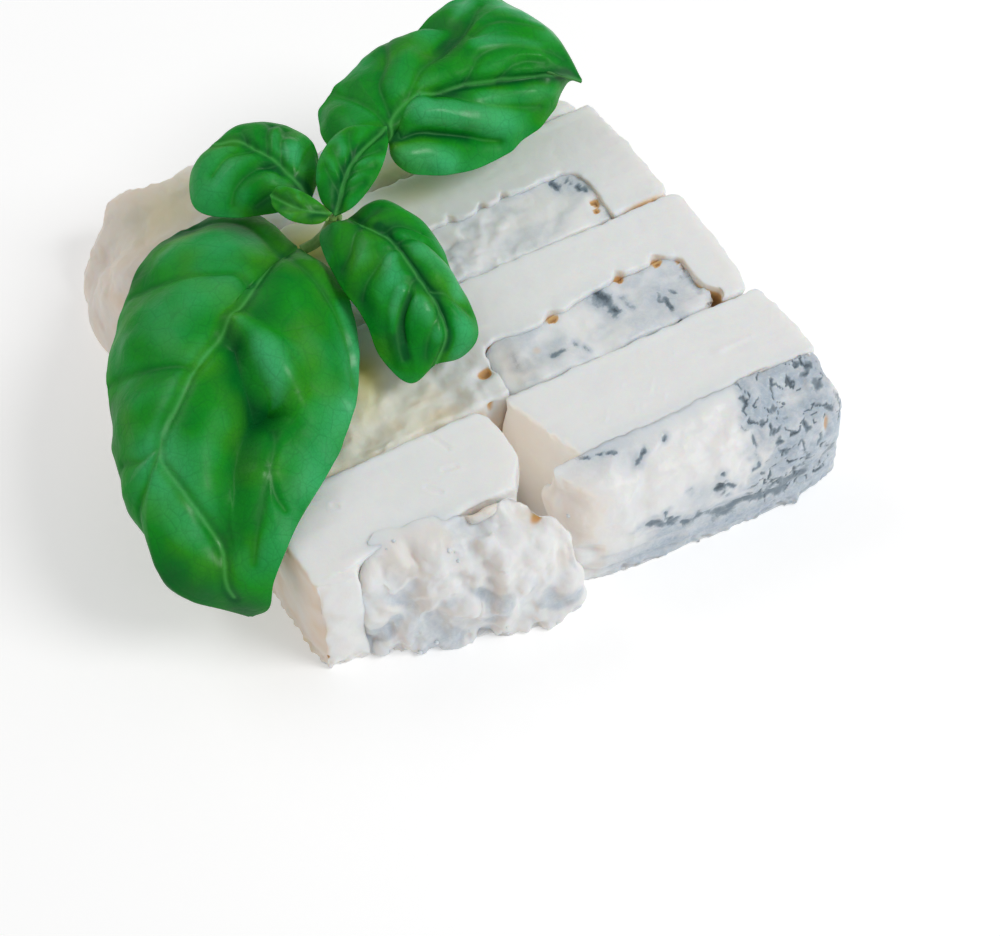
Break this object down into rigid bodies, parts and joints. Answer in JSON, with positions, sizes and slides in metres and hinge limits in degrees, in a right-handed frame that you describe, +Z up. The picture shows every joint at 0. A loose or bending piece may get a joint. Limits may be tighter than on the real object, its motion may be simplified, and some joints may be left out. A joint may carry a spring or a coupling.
{
  "type": "gorgonzola and mascarpone slab with basil",
  "caption": "Slab of layered mascarpone and blue-veined gorgonzola in parallel portions, lying on its cut side, with a basil sprig on top.",
  "frame": {"origin": "on the flat underside, below the second portion from the front", "axes": "+Z up, +X along the cheese bars to the right, +Y to the back"},
  "size_m": [0.1397, 0.1311, 0.052],
  "materials": {
    "mascarpone": "soft satin fresh cheese",
    "gorgonzola": "moist cheese with blue-grey veins",
    "basil_leaf": "waxy leaf with soft sheen",
    "basil_stem": "fresh stalk"
  },
  "bodies": {
    "root": {"mascarpone_front_left": "mascarpone", "mascarpone_front_right": "mascarpone", "mascarpone_second": "mascarpone", "mascarpone_third": "mascarpone", "mascarpone_back": "mascarpone", "gorgonzola_front_left": "gorgonzola", "gorgonzola_front_right": "gorgonzola", "gorgonzola_second": "gorgonzola", "gorgonzola_third": "gorgonzola", "basil_leaf_large": "basil_leaf", "basil_leaf_upper": "basil_leaf", "basil_leaf_lower": "basil_leaf", "basil_leaf_left": "basil_leaf", "basil_leaf_centre": "basil_leaf", "basil_leaf_tiny": "basil_leaf", "basil_stem": "basil_stem"}
  },
  "joints": []
}
